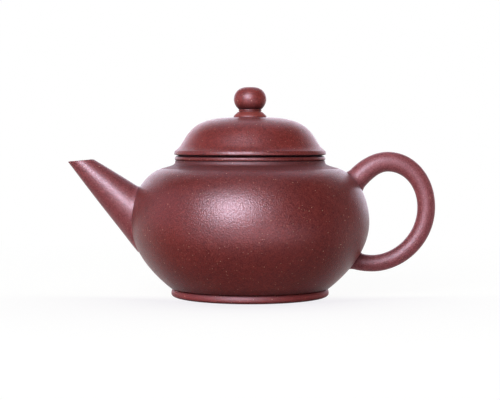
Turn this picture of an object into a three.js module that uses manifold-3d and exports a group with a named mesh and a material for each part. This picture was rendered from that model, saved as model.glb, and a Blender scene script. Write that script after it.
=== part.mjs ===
// A round-bellied clay teapot with a lift-off lid, a straight spout and an ear-shaped handle.
// Millimetres. +Z is up and the table is z = 0. The turned pieces share the Z axis, the spout
// points to -X and the handle to +X. Every piece of clay is a mesh of its own.

import * as THREE from 'three';
import { mergeVertices } from 'three/addons/utils/BufferGeometryUtils.js';
import Module from 'manifold-3d';

const wasm = await Module();
wasm.setup();

// Fits
const clayGap = 0.3;
const cutOverrun = 2;

// Facets: how many steps go round each kind of piece, and along each curve of an outline
const roundSteps = { body: 44, small: 24, spout: 32, handle: 14, strainer: 16, strainerHole: 6 };
const curveSteps = {
  foot: 4,
  footTop: 3,
  footInside: 2,
  belly: 9,
  bellyInside: 5,
  neck: 6,
  neckEdge: 2,
  mouthBead: 6,
  lidRim: 6,
  lip: 4,
  dome: 10,
  hollow: 7,
  knobFoot: 7,
  collar: 5,
  ballLower: 6,
  ballUpper: 9,
  lookup: 80,
};
const handleSteps = { root: 2, toTop: 8, toBack: 10, toBottom: 11, toRoot: 4, end: 1 };

// Foot ring, a half-round bead that the pot stands on, and the base disc inside it
const footRadius = 30.62;
const footWidth = 3.2;
const footHeight = 3.4;
const footFlatWidth = 1.2;
const baseRecess = 2.5;
const baseThickness = 2.8;
const baseEdgeBevel = 0.4;

// Belly wall, from the foot ring up to the flat ledge that carries the neck
const bellyFootOverhang = 0.13;
const equatorRadius = 45.85;
const lowerBellyHeight = 25.4;
const upperBellyHeight = 20.35;
const bellyWall = 2.6;

// Neck and mouth
const neckRadius = 28.8;
const neckWall = 2.8;
const neckFlare = 5.2;
const neckHeight = 2.95;
const neckEdgeRound = 0.45;
const mouthBeadHeight = 1.75;
const mouthBeadBulge = 0.15;
const mouthGrooveDepth = 0.5;

// Lid: dome, rolled rim, and the flange that drops into the mouth
const lidOverhang = 0.25;
const lidRimHeight = 1.85;
const lidRimEdgeRound = 0.8;
const lidLipWidth = 2.5;
const lidLipHeight = 1.8;
const domeHeight = 11.15;
const domeWall = 2.4;
const flangePlay = 0.4;
const flangeWall = 2.2;
const flangeDepth = 6.65;
const flangeTaper = 0.25;

// Knob on the lid: flared foot, collar and flattened ball, with a steam vent through all of them
const ventRadius = 0.9;
const knobFootRadius = 6.45;
const knobFootHeight = 1.85;
const knobNeckRadius = 4.3;
const knobCollarHeight = 0.8;
const knobCollarBulge = 0.2;
const knobBallRadius = 6.24;
const knobBallLowerHeight = 4;
const knobBallUpperHeight = 4.62;

// Spout: a straight cone round a tapering bore, its tip level with the mouth
const spoutReach = 19.9;
const spoutTipDrop = 1.78;
const spoutTipRadius = 3.6;
const spoutTipWall = 1.3;
const spoutRootWall = 2.2;
const spoutDip = 42;
const spoutFlare = 10.4;
const spoutTipTilt = 7.4;
const spoutBodyLength = 28.4;
const spoutRootDepth = 14;

// Strainer: a pierced half ball over the hole through the belly wall behind the spout
const strainerRadius = 8.4;
const strainerWall = 1.5;
const strainerRise = 2.2;
const strainerHoleRadius = 0.75;
const strainerRings = [
  { count: 1, tilt: 0 },
  { count: 6, tilt: 25 },
  { count: 12, tilt: 47 },
];

// Handle: the centreline's places outside the belly, and the rod's radius along it
const handleUpperRadius = 4.25;
const handleTopRadius = 3.8;
const handleBackRadius = 3.43;
const handleBottomRadius = 3.2;
const handleLowerRadius = 3.3;
const handleTopReach = 7.2;
const handleTopRise = 7.2;
const handleBackReach = 22.2;
const handleBackRise = 5.45;
const handleBottomReach = 1.35;
const handleBottomDrop = 1.1;
const handleRootDepth = 7;
const handleUpperSlope = 48.8;
const handleLowerSlope = 17.7;

// Shares that shape the free curves: how far a curve holds its first and its last direction
const lowerBellyShares = { foot: 0.194, equator: 0.475, footSlope: 1.242 };
const upperBellyShares = { equator: 0.219, neck: 0.179, neckSlope: 2.78 };
const neckShares = { footIn: 0.42, footUp: 0.3, top: 0.4 };
const lipShares = { edgeIn: 0.33, edgeUp: 0.25, shoulder: 0.33 };
const domeShares = { lip: 0.411, lipSlope: 0.7, crown: 0.834 };
const hollowShares = { ledge: 0.25, lip: 0.45, crown: 0.72 };
const ballShares = { lowOut: 0.567, lowUp: 0.2, lower: 0.45, upper: 0.62, crown: 0.72 };
const knobFootShares = { edgeHeight: 0.2, edge: 0.6, neck: 0.35 };
const handleRootShares = { upper: 0.7715, lower: 0.597 };
const handleShares = {
  toTop: { out: 0.354, into: 0.339 },
  toBack: { out: 0.569, into: 0.535 },
  toBottom: { out: 0.545, into: 0.508 },
  toRoot: { out: 0.352, into: 0.323 },
};

// Heights and radii that follow from the sizes above
const equatorHeight = footHeight + lowerBellyHeight;
const ledgeHeight = equatorHeight + upperBellyHeight;
const neckTop = ledgeHeight + neckHeight;
const mouthTop = neckTop + mouthBeadHeight;
const lidBottom = mouthTop + clayGap;
const lidRimTop = lidBottom + lidRimHeight;
const crownTop = lidRimTop + lidLipHeight + domeHeight;
const mouthRadius = neckRadius - neckWall;
const mouthBeadRadius = neckRadius + mouthBeadBulge;
const grooveRadius = neckRadius - mouthGrooveDepth;
const lidRimRadius = mouthBeadRadius + lidOverhang;
const flangeRadius = mouthRadius - flangePlay;
const flangeInnerRadius = flangeRadius - flangeWall;
const footInnerRadius = footRadius - footWidth;
const strainerHeight = equatorHeight + strainerRise;

// Points along a curve that leaves start towards startPull and arrives at end from endPull
function bend(start, startPull, endPull, end, steps) {
  const [a, b, c, d] = [start, startPull, endPull, end].map(([x, y]) => new THREE.Vector2(x, y));
  return new THREE.CubicBezierCurve(a, b, c, d).getPoints(steps);
}

// Half-round moulding between two heights at one inner radius, bulging out to the outer radius
function bead(innerRadius, outerRadius, low, high, steps) {
  const middle = (low + high) / 2;
  const half = (high - low) / 2;
  const points = [];
  for (let i = 0; i <= steps; i += 1) {
    const turn = Math.PI * (i / steps - 1 / 2);
    const radius = innerRadius + (outerRadius - innerRadius) * Math.cos(turn);
    points.push(new THREE.Vector2(radius, middle + half * Math.sin(turn)));
  }
  return points;
}

// The same line moved sideways to its left, which is inwards for a wall drawn from the bottom up
function moveLeft(points, distance) {
  return points.map((point, i) => {
    const before = points[Math.max(i - 1, 0)];
    const after = points[Math.min(i + 1, points.length - 1)];
    const along = after.clone().sub(before).normalize();
    return new THREE.Vector2(point.x - along.y * distance, point.y + along.x * distance);
  });
}

function corner(radius, height) {
  return new THREE.Vector2(radius, height);
}

// Turned solid about the Z axis; a profile that stays off the axis is closed on itself
function turned(profile, steps = roundSteps.body) {
  const touchesAxis = profile[0].x === 0 && profile[profile.length - 1].x === 0;
  const closed = touchesAxis ? profile : [...profile, profile[0].clone()];
  return new THREE.LatheGeometry(closed, steps).rotateX(Math.PI / 2);
}

function toSolid(geometry) {
  const bare = geometry.clone();
  bare.deleteAttribute('normal');
  bare.deleteAttribute('uv');
  const merged = mergeVertices(bare);
  const index = merged.index.array;
  const corners = [];
  for (let i = 0; i < index.length; i += 3) {
    const [a, b, c] = [index[i], index[i + 1], index[i + 2]];
    if (a !== b && b !== c && c !== a) corners.push(a, b, c);
  }
  const vertProperties = new Float32Array(merged.attributes.position.array);
  const triVerts = new Uint32Array(corners);
  return new wasm.Manifold(new wasm.Mesh({ numProp: 3, vertProperties, triVerts }));
}

function toGeometry(solid) {
  const mesh = solid.getMesh();
  const geometry = new THREE.BufferGeometry();
  const places = new Float32Array(mesh.vertProperties);
  geometry.setAttribute('position', new THREE.BufferAttribute(places, 3));
  geometry.setIndex(new THREE.BufferAttribute(new Uint32Array(mesh.triVerts), 1));
  geometry.computeVertexNormals();
  return geometry;
}

// Belly outline from the foot ring to the neck, in two sweeps that meet upright at the equator
function bellyOutline(steps) {
  const foot = [footRadius + bellyFootOverhang, footHeight];
  const footPull = lowerBellyShares.foot * lowerBellyHeight;
  const lower = bend(
    foot,
    [foot[0] + lowerBellyShares.footSlope * footPull, foot[1] + footPull],
    [equatorRadius, equatorHeight - lowerBellyShares.equator * lowerBellyHeight],
    [equatorRadius, equatorHeight],
    steps,
  );
  const neckPull = upperBellyShares.neck * upperBellyHeight;
  const top = [neckRadius + neckFlare, ledgeHeight];
  const upper = bend(
    [equatorRadius, equatorHeight],
    [equatorRadius, equatorHeight + upperBellyShares.equator * upperBellyHeight],
    [top[0] + upperBellyShares.neckSlope * neckPull, top[1] - neckPull],
    top,
    steps,
  );
  return [...lower, ...upper.slice(1)];
}

const outline = bellyOutline(curveSteps.belly);

// Outer radius of the belly at a height, read off a fine outline
function bellyRadiusAt(height) {
  const fine = bellyOutline(curveSteps.lookup);
  for (let i = 1; i < fine.length; i += 1) {
    if (fine[i].y >= height) {
      const share = (height - fine[i - 1].y) / (fine[i].y - fine[i - 1].y);
      return fine[i - 1].x + (fine[i].x - fine[i - 1].x) * share;
    }
  }
  return fine[fine.length - 1].x;
}

// Solid body of the belly, grown by a gap, which cuts the roots of the spout and the handle
function bellyCutter() {
  const grown = moveLeft(outline, -clayGap);
  const low = grown[0];
  const high = grown[grown.length - 1];
  return toSolid(turned([corner(0, low.y), ...grown, corner(0, high.y)]));
}

// Space inside the belly, shrunk by a gap, which bounds the strainer
function cavityCutter() {
  const inner = moveLeft(outline, bellyWall + clayGap);
  const low = inner[0];
  const high = inner[inner.length - 1];
  return toSolid(turned([corner(0, low.y), ...inner, corner(0, high.y)]));
}

function footRing() {
  const flatRadius = footRadius - (footWidth - footFlatWidth) / 2;
  const waist = footHeight / 2;
  const lowerEdge = [footRadius, 0];
  const upperEdge = [footRadius, footHeight];
  const innerEdge = [footInnerRadius, 0];
  const top = [footRadius - bellyFootOverhang * 2, footHeight];
  const outer = [
    ...bend([flatRadius, 0], lowerEdge, lowerEdge, [footRadius, waist], curveSteps.foot),
    ...bend([footRadius, waist], upperEdge, upperEdge, top, curveSteps.footTop).slice(1),
  ];
  const inner = bend(
    [footInnerRadius, waist],
    innerEdge,
    innerEdge,
    [flatRadius - footFlatWidth, 0],
    curveSteps.footInside,
  );
  return turned([...outer, corner(footInnerRadius, footHeight), ...inner]);
}

function baseDisc() {
  const radius = footInnerRadius - clayGap;
  const top = baseRecess + baseThickness;
  return turned([
    corner(0, baseRecess),
    corner(radius - baseEdgeBevel, baseRecess),
    corner(radius, baseRecess + baseEdgeBevel),
    corner(radius, top),
    corner(0, top),
  ]);
}

function strainerCentre() {
  return -(bellyRadiusAt(strainerHeight) - bellyWall);
}

// Shell of the pot: wall, an inward toe round the base disc, a ledge under the neck, and the
// round hole behind the spout that the strainer covers
function bellyShell() {
  const inner = moveLeft(bellyOutline(curveSteps.bellyInside), bellyWall).reverse();
  const toeTop = baseRecess + baseThickness;
  const shell = toSolid(
    turned([
      ...outline,
      corner(mouthRadius, ledgeHeight),
      corner(mouthRadius, inner[0].y),
      ...inner,
      corner(footInnerRadius, toeTop),
      corner(footInnerRadius, footHeight),
    ]),
  );
  const holeRadius = strainerRadius - strainerWall - clayGap;
  const holeLength = bellyWall * 2 + cutOverrun * 2;
  const hole = new THREE.CylinderGeometry(holeRadius, holeRadius, holeLength, roundSteps.small);
  hole.rotateZ(Math.PI / 2);
  hole.translate(strainerCentre() - bellyWall / 2, 0, strainerHeight);
  return toGeometry(shell.subtract(toSolid(hole)));
}

// Short neck that runs on from the shoulder and turns up to a rounded edge under the mouth bead
function neckRing() {
  const foot = [neckRadius + neckFlare, ledgeHeight];
  const edge = [neckRadius, neckTop - neckEdgeRound];
  const rise = edge[1] - foot[1];
  const sweep = bend(
    foot,
    [foot[0] - neckShares.footIn * neckFlare, foot[1] + neckShares.footUp * rise],
    [edge[0], edge[1] - neckShares.top * rise],
    edge,
    curveSteps.neck,
  );
  const upperEdge = [neckRadius, neckTop];
  const rounded = bend(edge, upperEdge, upperEdge, [grooveRadius, neckTop], curveSteps.neckEdge);
  return turned([
    ...sweep,
    ...rounded.slice(1),
    corner(mouthRadius, neckTop),
    corner(mouthRadius, ledgeHeight),
  ]);
}

function mouthBead() {
  return turned([
    ...bead(grooveRadius, mouthBeadRadius, neckTop, mouthTop, curveSteps.mouthBead),
    corner(mouthRadius, mouthTop),
    corner(mouthRadius, neckTop),
  ]);
}

// Round spout cut by the belly at its root and by a sloping plane at its tip
function spout() {
  const flare = Math.tan(THREE.MathUtils.degToRad(spoutFlare));
  const rootEnd = spoutBodyLength + spoutRootDepth;
  const tipEnd = -(spoutTipRadius + cutOverrun);
  const outerAt = (along) => spoutTipRadius + along * flare;
  const wallAt = (along) => spoutTipWall + (spoutRootWall - spoutTipWall) * (along / spoutBodyLength);
  const stops = [tipEnd, 0, spoutBodyLength, rootEnd];
  const outer = stops.map((along) => corner(outerAt(along), -along)).reverse();
  const inner = stops.map((along) => corner(outerAt(along) - wallAt(along), -along));
  const cone = turned([...outer, ...inner], roundSteps.spout);
  cone.rotateY(THREE.MathUtils.degToRad(spoutDip - 90));
  const tip = new THREE.Vector3(-(equatorRadius + spoutReach), 0, mouthTop - spoutTipDrop);
  cone.translate(tip.x, tip.y, tip.z);

  const blockSize = spoutReach * 2;
  const block = new THREE.BoxGeometry(blockSize, blockSize, blockSize);
  block.translate(0, 0, blockSize / 2);
  block.rotateY(-THREE.MathUtils.degToRad(spoutTipTilt));
  block.translate(tip.x, tip.y, tip.z);
  return toGeometry(toSolid(cone).subtract(toSolid(block)).subtract(bellyCutter()));
}

// Pierced half ball luted inside the wall
function strainer() {
  const centre = strainerCentre();
  const steps = roundSteps.strainer;
  const ball = (radius) => toSolid(new THREE.SphereGeometry(radius, steps, steps / 2));
  let solid = ball(strainerRadius).subtract(ball(strainerRadius - strainerWall));
  const pinLength = strainerRadius + cutOverrun;
  for (const { count, tilt } of strainerRings) {
    for (let i = 0; i < count; i += 1) {
      const pin = new THREE.CylinderGeometry(
        strainerHoleRadius,
        strainerHoleRadius,
        pinLength,
        roundSteps.strainerHole,
      );
      pin.translate(0, pinLength / 2, 0);
      pin.rotateZ(THREE.MathUtils.degToRad(tilt) - Math.PI / 2);
      pin.rotateX((i / count) * Math.PI * 2);
      solid = solid.subtract(toSolid(pin));
    }
  }
  const placed = toGeometry(solid).translate(centre, 0, strainerHeight);
  return toGeometry(toSolid(placed).intersect(cavityCutter()));
}

// Unit direction in the handle's plane, at an angle above the outward horizontal
function outwardWay(degrees) {
  const turn = THREE.MathUtils.degToRad(degrees);
  return new THREE.Vector2(Math.cos(turn), Math.sin(turn));
}

// Centreline of the handle with its radius at each point, from inside the belly, out over the
// top, down the back and in again below
function handleLine() {
  const upperHeight = equatorHeight + handleRootShares.upper * upperBellyHeight;
  const lowerHeight = equatorHeight - handleRootShares.lower * lowerBellyHeight;
  const upper = corner(bellyRadiusAt(upperHeight), upperHeight);
  const lower = corner(bellyRadiusAt(lowerHeight), lowerHeight);
  const top = corner(equatorRadius + handleTopReach, upperHeight + handleTopRise);
  const back = corner(equatorRadius + handleBackReach, equatorHeight + handleBackRise);
  const bottom = corner(equatorRadius + handleBottomReach, lowerHeight - handleBottomDrop);
  const upperWay = outwardWay(handleUpperSlope);
  const lowerWay = outwardWay(-handleLowerSlope);
  const upperEnd = upper.clone().addScaledVector(upperWay, -handleRootDepth);
  const lowerEnd = lower.clone().addScaledVector(lowerWay, -handleRootDepth);
  const { toTop, toBack, toBottom, toRoot } = handleShares;
  const firstSpan = upper.distanceTo(top);
  const lastSpan = bottom.distanceTo(lower);
  const rise = new THREE.CubicBezierCurve(
    upper,
    upper.clone().addScaledVector(upperWay, toTop.out * firstSpan),
    corner(top.x - toTop.into * firstSpan, top.y),
    top,
  );
  const fall = new THREE.CubicBezierCurve(
    top,
    corner(top.x + toBack.out * (back.x - top.x), top.y),
    corner(back.x, back.y + toBack.into * (top.y - back.y)),
    back,
  );
  const sweep = new THREE.CubicBezierCurve(
    back,
    corner(back.x, back.y - toBottom.out * (back.y - bottom.y)),
    corner(bottom.x + toBottom.into * (back.x - bottom.x), bottom.y),
    bottom,
  );
  const tuck = new THREE.CubicBezierCurve(
    bottom,
    corner(bottom.x - toRoot.out * lastSpan, bottom.y),
    lower.clone().addScaledVector(lowerWay, toRoot.into * lastSpan),
    lower,
  );
  const legs = [
    { curve: new THREE.LineCurve(upperEnd, upper), radius: handleUpperRadius, steps: handleSteps.root },
    { curve: rise, radius: handleTopRadius, steps: handleSteps.toTop },
    { curve: fall, radius: handleBackRadius, steps: handleSteps.toBack },
    { curve: sweep, radius: handleBottomRadius, steps: handleSteps.toBottom },
    { curve: tuck, radius: handleLowerRadius, steps: handleSteps.toRoot },
    { curve: new THREE.LineCurve(lower, lowerEnd), radius: handleLowerRadius, steps: handleSteps.end },
  ];
  const points = [upperEnd];
  const radii = [handleUpperRadius];
  for (const { curve, radius, steps } of legs) {
    const startRadius = radii[radii.length - 1];
    for (let i = 1; i <= steps; i += 1) {
      const ease = (1 - Math.cos((Math.PI * i) / steps)) / 2;
      points.push(curve.getPoint(i / steps));
      radii.push(startRadius + (radius - startRadius) * ease);
    }
  }
  return { points, radii };
}

// Round rod swept along the centreline, closed at both ends, with its roots cut by the belly
function handle() {
  const { points, radii } = handleLine();
  const sides = roundSteps.handle;
  const positions = [];
  const faces = [];
  points.forEach((point, i) => {
    const before = points[Math.max(i - 1, 0)];
    const after = points[Math.min(i + 1, points.length - 1)];
    const along = after.clone().sub(before).normalize();
    for (let side = 0; side < sides; side += 1) {
      const turn = (side / sides) * Math.PI * 2;
      const across = radii[i] * Math.cos(turn);
      const depth = radii[i] * Math.sin(turn);
      positions.push(point.x - along.y * across, depth, point.y + along.x * across);
    }
  });
  const ringStart = (ring) => ring * sides;
  for (let ring = 0; ring < points.length - 1; ring += 1) {
    for (let side = 0; side < sides; side += 1) {
      const next = (side + 1) % sides;
      const [a, b] = [ringStart(ring) + side, ringStart(ring) + next];
      const [c, d] = [ringStart(ring + 1) + side, ringStart(ring + 1) + next];
      faces.push(a, c, b, b, c, d);
    }
  }
  const last = ringStart(points.length - 1);
  for (let side = 1; side < sides - 1; side += 1) {
    faces.push(0, side, side + 1);
    faces.push(last, last + side + 1, last + side);
  }
  const rod = new THREE.BufferGeometry();
  rod.setAttribute('position', new THREE.Float32BufferAttribute(positions, 3));
  rod.setIndex(faces);
  return toGeometry(toSolid(rod).subtract(bellyCutter()));
}

// Domed plate of the lid, with a hollow underside, a flared lip and a flat seat for the knob
function lidDome() {
  const lip = [lidRimRadius - lidRimEdgeRound / 2, lidRimTop];
  const shoulder = [lidRimRadius - lidLipWidth, lidRimTop + lidLipHeight];
  const shoulderPull = domeShares.lip * domeHeight;
  const lipPull = lipShares.shoulder * lidLipHeight;
  const sweep = bend(
    lip,
    [lip[0] - lipShares.edgeIn * lidLipWidth, lip[1] + lipShares.edgeUp * lidLipHeight],
    [shoulder[0] + domeShares.lipSlope * lipPull, shoulder[1] - lipPull],
    shoulder,
    curveSteps.lip,
  );
  const dome = bend(
    shoulder,
    [shoulder[0] - domeShares.lipSlope * shoulderPull, shoulder[1] + shoulderPull],
    [domeShares.crown * shoulder[0], crownTop],
    [knobFootRadius, crownTop],
    curveSteps.dome,
  );
  const hollowRadius = flangeInnerRadius + hollowShares.ledge * flangeWall;
  const hollowTop = crownTop - domeWall;
  const hollow = bend(
    [ventRadius, hollowTop],
    [hollowShares.crown * hollowRadius, hollowTop],
    [hollowRadius, lidRimTop + hollowShares.lip * (hollowTop - lidRimTop)],
    [hollowRadius, lidRimTop],
    curveSteps.hollow,
  );
  return turned([...sweep, ...dome.slice(1), corner(ventRadius, crownTop), ...hollow]);
}

function lidRim() {
  const inner = flangeRadius + clayGap;
  const seatRadius = lidRimRadius - lidRimEdgeRound;
  const edge = bead(seatRadius, lidRimRadius, lidBottom, lidRimTop, curveSteps.lidRim);
  return turned([...edge, corner(inner, lidRimTop), corner(inner, lidBottom)]);
}

function lidFlange() {
  const low = lidBottom - flangeDepth;
  return turned([
    corner(flangeRadius - flangeTaper, low),
    corner(flangeRadius, lidBottom),
    corner(flangeRadius, lidRimTop),
    corner(flangeInnerRadius, lidRimTop),
    corner(flangeInnerRadius, low),
  ]);
}

function knobFoot() {
  const top = crownTop + knobFootHeight;
  const edge = [knobFootRadius, crownTop + knobFootShares.edgeHeight * knobFootHeight];
  const rise = top - edge[1];
  const flare = bend(
    edge,
    [edge[0], edge[1] + knobFootShares.edge * rise],
    [knobNeckRadius, top - knobFootShares.neck * rise],
    [knobNeckRadius, top],
    curveSteps.knobFoot,
  );
  const base = corner(knobFootRadius, crownTop);
  const vent = [corner(ventRadius, top), corner(ventRadius, crownTop)];
  return turned([base, ...flare, ...vent], roundSteps.small);
}

function knobCollar() {
  const low = crownTop + knobFootHeight;
  const high = low + knobCollarHeight;
  const outerRadius = knobNeckRadius + knobCollarBulge;
  const edge = bead(knobNeckRadius, outerRadius, low, high, curveSteps.collar);
  return turned([...edge, corner(ventRadius, high), corner(ventRadius, low)], roundSteps.small);
}

function knobBall() {
  const low = crownTop + knobFootHeight + knobCollarHeight;
  const waist = low + knobBallLowerHeight;
  const top = waist + knobBallUpperHeight;
  const spread = knobBallRadius - knobNeckRadius;
  const lower = bend(
    [knobNeckRadius, low],
    [knobNeckRadius + ballShares.lowOut * spread, low + ballShares.lowUp * knobBallLowerHeight],
    [knobBallRadius, waist - ballShares.lower * knobBallLowerHeight],
    [knobBallRadius, waist],
    curveSteps.ballLower,
  );
  const upper = bend(
    [knobBallRadius, waist],
    [knobBallRadius, waist + ballShares.upper * knobBallUpperHeight],
    [ballShares.crown * knobBallRadius, top],
    [ventRadius, top],
    curveSteps.ballUpper,
  );
  return turned([...lower, ...upper.slice(1), corner(ventRadius, low)], roundSteps.small);
}

// Finish and assembly
function clay(color, roughness) {
  return new THREE.MeshStandardMaterial({ color, roughness, metalness: 0 });
}

function piece(name, geometry, material) {
  const mesh = new THREE.Mesh(geometry, material);
  mesh.name = name;
  return mesh;
}

const potClay = () => clay(0x7d4441, 0.5);
const lidClay = () => clay(0x7f4744, 0.5);

const pot = new THREE.Group();
pot.add(
  piece('belly_shell', bellyShell(), potClay()),
  piece('base_disc', baseDisc(), potClay()),
  piece('foot_ring', footRing(), potClay()),
  piece('neck_ring', neckRing(), potClay()),
  piece('mouth_bead', mouthBead(), potClay()),
  piece('spout', spout(), potClay()),
  piece('strainer_dome', strainer(), potClay()),
  piece('handle', handle(), potClay()),
);

const lid = new THREE.Group();
lid.add(
  piece('lid_dome', lidDome(), lidClay()),
  piece('lid_rim', lidRim(), lidClay()),
  piece('lid_flange', lidFlange(), lidClay()),
  piece('knob_foot', knobFoot(), lidClay()),
  piece('knob_collar', knobCollar(), lidClay()),
  piece('knob_ball', knobBall(), lidClay()),
);

const teapot = new THREE.Group();
teapot.add(pot, lid);

export default teapot;
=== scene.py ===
# A small unglazed clay teapot on a white table, dressed over its construction model.
# Metres, +Z up. The turned pieces share the Z axis, the spout points to -X, the handle to +X.
# A curve's pull says how far its end reaches out along its own direction before it bends.

import math

import bmesh
import bpy
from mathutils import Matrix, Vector


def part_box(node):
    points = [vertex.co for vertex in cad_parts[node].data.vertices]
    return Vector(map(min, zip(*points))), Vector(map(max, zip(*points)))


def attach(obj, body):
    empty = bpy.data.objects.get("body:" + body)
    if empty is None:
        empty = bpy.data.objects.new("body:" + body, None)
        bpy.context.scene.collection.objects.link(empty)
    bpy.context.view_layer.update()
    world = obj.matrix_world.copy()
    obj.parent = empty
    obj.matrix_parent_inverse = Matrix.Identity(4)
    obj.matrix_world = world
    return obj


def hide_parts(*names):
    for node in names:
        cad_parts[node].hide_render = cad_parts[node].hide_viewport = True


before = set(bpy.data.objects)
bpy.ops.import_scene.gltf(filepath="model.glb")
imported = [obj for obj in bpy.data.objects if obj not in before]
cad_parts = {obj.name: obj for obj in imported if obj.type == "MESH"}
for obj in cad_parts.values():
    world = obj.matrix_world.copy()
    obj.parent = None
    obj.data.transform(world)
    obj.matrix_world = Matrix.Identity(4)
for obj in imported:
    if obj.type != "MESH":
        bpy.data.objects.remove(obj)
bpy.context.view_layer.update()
MM = 0.001


def low(node):
    """Lowest corner of a CAD node."""
    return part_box(node)[0]


def high(node):
    """Highest corner of a CAD node. Its y is the outer radius of a turned piece."""
    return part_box(node)[1]


# Pot, from the table up
FOOT_RADIUS = high("foot_ring").y
FOOT_TOP = high("foot_ring").z
FOOT_INNER_RADIUS = FOOT_RADIUS - 3.2 * MM
FOOT_FLAT_INNER = FOOT_RADIUS - 2.2 * MM
FOOT_BEAD_RADIUS = FOOT_RADIUS - 0.25 * MM
FOOT_BEAD_WIDEST = FOOT_TOP * 0.33
FOOT_BEAD_SOLE = 1.4 * MM
FOOT_BEAD_SHELF = 1.5 * MM
FOOT_SEAM = 0.05 * MM
BASE_LOW = low("base_disc").z
BASE_TOP = high("base_disc").z
BASE_SAG = 0.15 * MM
BASE_EDGE_ROUND = 0.4 * MM
BELLY_LOW_RADIUS = FOOT_RADIUS + 0.13 * MM
EQUATOR_RADIUS = high("belly_shell").y
EQUATOR_HEIGHT = 28.8 * MM
LEDGE_HEIGHT = high("belly_shell").z
BELLY_WALL = 2.6 * MM
BELLY_FOOT_PULL = 0.194
BELLY_FOOT_LEAN = 1.242
BELLY_LOWER_PULL = 0.45
BELLY_UPPER_PULL = 0.219
BELLY_NECK_PULL = 0.179
BELLY_NECK_LEAN = 2.78
NECK_FOOT_RADIUS = high("neck_ring").y
NECK_RADIUS = 28.8 * MM
NECK_TOP = high("neck_ring").z
NECK_EDGE_ROUND = 0.04 * MM
NECK_FOOT_PULL_IN = 0.88
NECK_FOOT_PULL_UP = 0.44
NECK_TOP_PULL = 0.55
GROOVE_RADIUS = 28.3 * MM
MOUTH_RADIUS = 26.0 * MM
MOUTH_BEAD_RADIUS = high("mouth_bead").y
MOUTH_TOP = high("mouth_bead").z
MOUTH_EDGE_ROUND = 0.35 * MM
MOUTH_BEAD_OVERLAP = 0.2 * MM

# Lid, from the flange up to the top of the knob
FLANGE_LOW = low("lid_flange").z
FLANGE_RADIUS = high("lid_flange").y
FLANGE_WALL = 2.2 * MM
FLANGE_TAPER = 0.25 * MM
FLANGE_EDGE_ROUND = 0.5 * MM
RIM_LOW = low("lid_rim").z
RIM_TOP = high("lid_rim").z
RIM_RADIUS = high("lid_rim").y
RIM_ROUND = 0.4 * MM
RIM_WIDEST = RIM_TOP - 1.3 * MM
RIM_UNDERCUT = 1.2 * MM
RIM_SEAT_WIDTH = 1.8 * MM
RIM_SEAT_GAP = 0.03 * MM
LIP_WIDTH = 2.35 * MM
LIP_HEIGHT = 1.8 * MM
LIP_PULL_IN = 0.33
LIP_PULL_UP = 0.25
LIP_SHOULDER_PULL = 0.33
CROWN = high("lid_dome").z - 0.25 * MM
DOME_WALL = 2.4 * MM
DOME_SHOULDER_PULL = 0.411
DOME_SHOULDER_LEAN = 0.7
DOME_CROWN_PULL = 0.834
HOLLOW_CROWN_PULL = 0.72
HOLLOW_SIDE_PULL = 0.45
VENT_RADIUS = 0.9 * MM
KNOB_FOOT_RADIUS = high("knob_foot").y - 0.15 * MM
KNOB_FOOT_TOP = high("knob_foot").z + 0.35 * MM
KNOB_NECK_RADIUS = 4.2 * MM
KNOB_TOE_WIDTH = 0.5 * MM
KNOB_TOE_SUNK = 0.02 * MM
KNOB_TOE_HEIGHT = 0.12
KNOB_SHOULDER_WIDTH = 0.45 * MM
KNOB_SHOULDER_DROP = 0.14
COLLAR_RADIUS = high("knob_collar").y - 0.08 * MM
COLLAR_TOP = high("knob_collar").z + 0.15 * MM
BALL_RADIUS = high("knob_ball").y
BALL_WAIST = COLLAR_TOP + 3.85 * MM
KNOB_TOP = high("knob_ball").z + 0.12 * MM
BALL_FOOT_PULL_OUT = 0.5
BALL_FOOT_PULL_UP = 0.18
BALL_LOWER_PULL = 0.4
BALL_UPPER_PULL = 0.57
BALL_CROWN_PULL = 0.68
VENT_ROUND = 0.35 * MM

# Spout: a cone round a tapering bore, measured back from the middle of its tip
SPOUT_TIP = Vector((-65.75, 0, 51.85)) * MM
SPOUT_TIP_RADIUS = 3.6 * MM
SPOUT_TIP_WALL = 1.3 * MM
SPOUT_ROOT_WALL = 2.2 * MM
SPOUT_BODY_LENGTH = 28.4 * MM
SPOUT_OVERRUN = 6 * MM
SPOUT_ROOT_DEPTH = 12 * MM
SPOUT_DIP = math.radians(42)
SPOUT_FLARE = math.radians(10.4)
SPOUT_BULGE = 0.12 * MM
SPOUT_RINGS = 92
SPOUT_RINGS_PER_BORE_RING = 8
SPOUT_FACETS = 128
SPOUT_SKIN_DEPTH = 0.3 * MM
TIP_TILT = math.radians(5.2)
TIP_RISE = 0.3 * MM
TIP_ROUND = 0.38 * MM

# Strainer behind the spout
STRAINER_CENTRE = Vector((-43.14, 0, 31.0)) * MM
STRAINER_RADIUS = 8.4 * MM
STRAINER_WALL = 1.5 * MM
STRAINER_HOLE_RADIUS = 0.75 * MM
STRAINER_RINGS = ((1, 0), (6, 25), (12, 47))
WALL_HOLE_RADIUS = 6.6 * MM

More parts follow.
